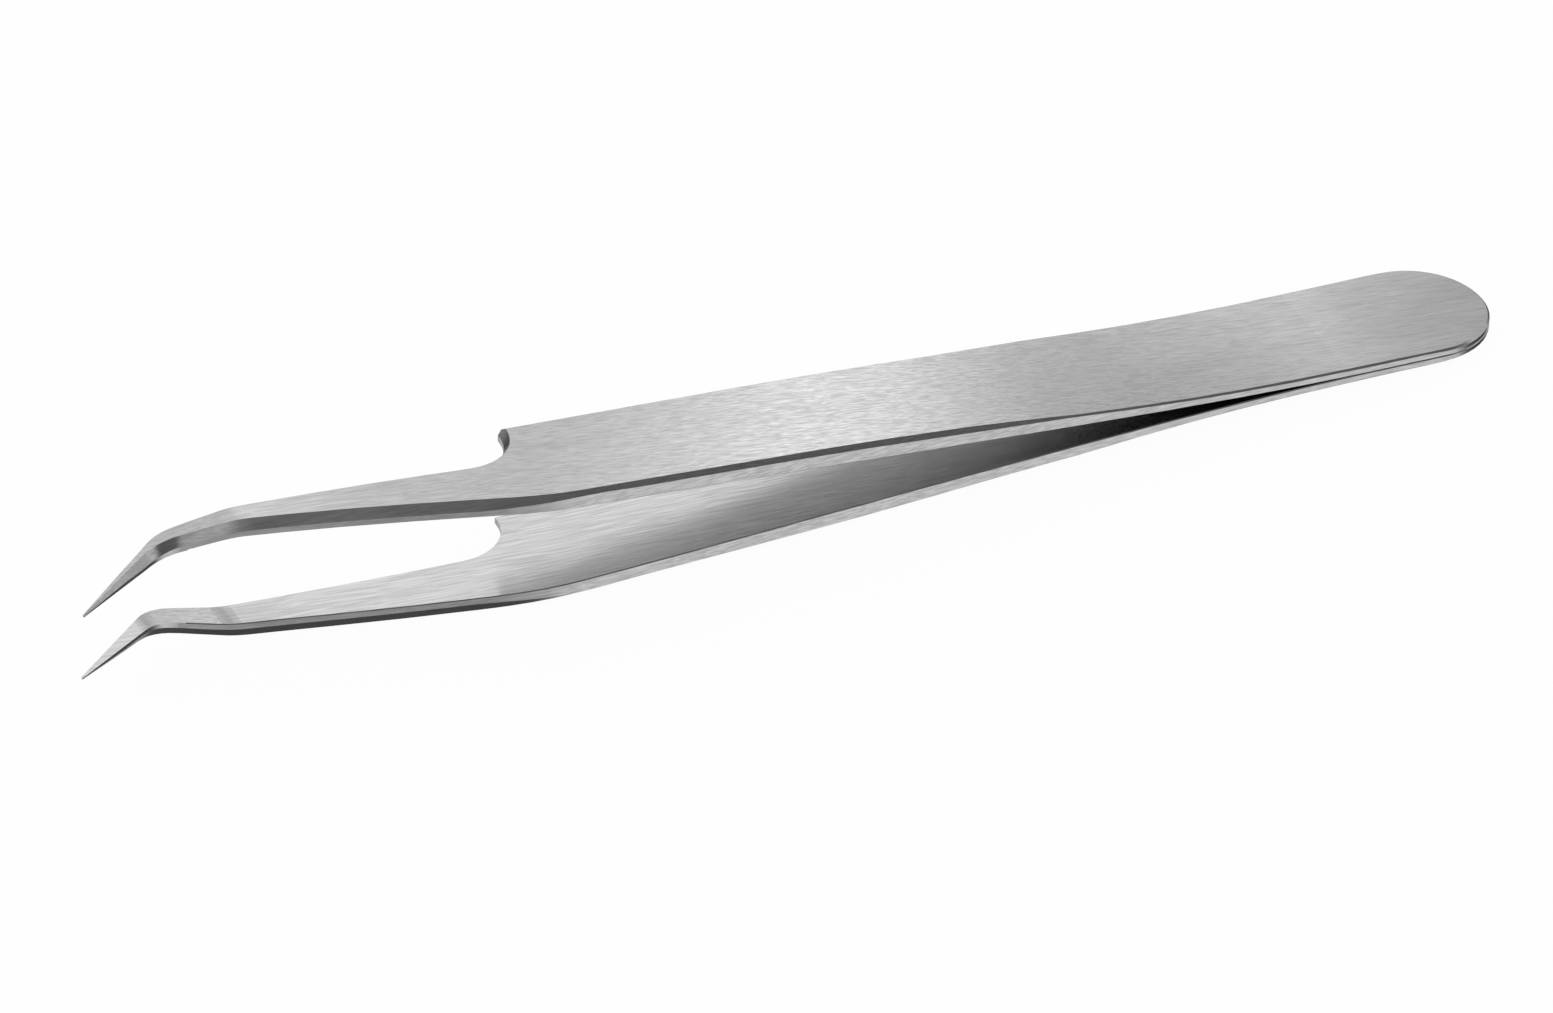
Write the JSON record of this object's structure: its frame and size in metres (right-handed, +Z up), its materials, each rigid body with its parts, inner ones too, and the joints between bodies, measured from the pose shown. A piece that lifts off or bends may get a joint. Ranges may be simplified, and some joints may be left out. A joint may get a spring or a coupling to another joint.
{
  "type": "fine-point tweezers",
  "caption": "Precision tweezers of brushed steel with a tapered flat handle, a one-sided rounded step and slim points that are cranked inwards and swept sideways.",
  "frame": {"origin": "centre of the overall box on the surface that the tweezers lie on", "axes": "+X along the length towards the welded rear end, with the points at -X; +Y from the side swept by the points towards the side with the step; +Z up from the lower arm to the upper arm"},
  "size_m": [0.115, 0.0114, 0.0108],
  "materials": {
    "steel": "satin, brushed along the length"
  },
  "bodies": {
    "root": {"upper_arm": "steel", "lower_arm": "steel"}
  },
  "joints": []
}
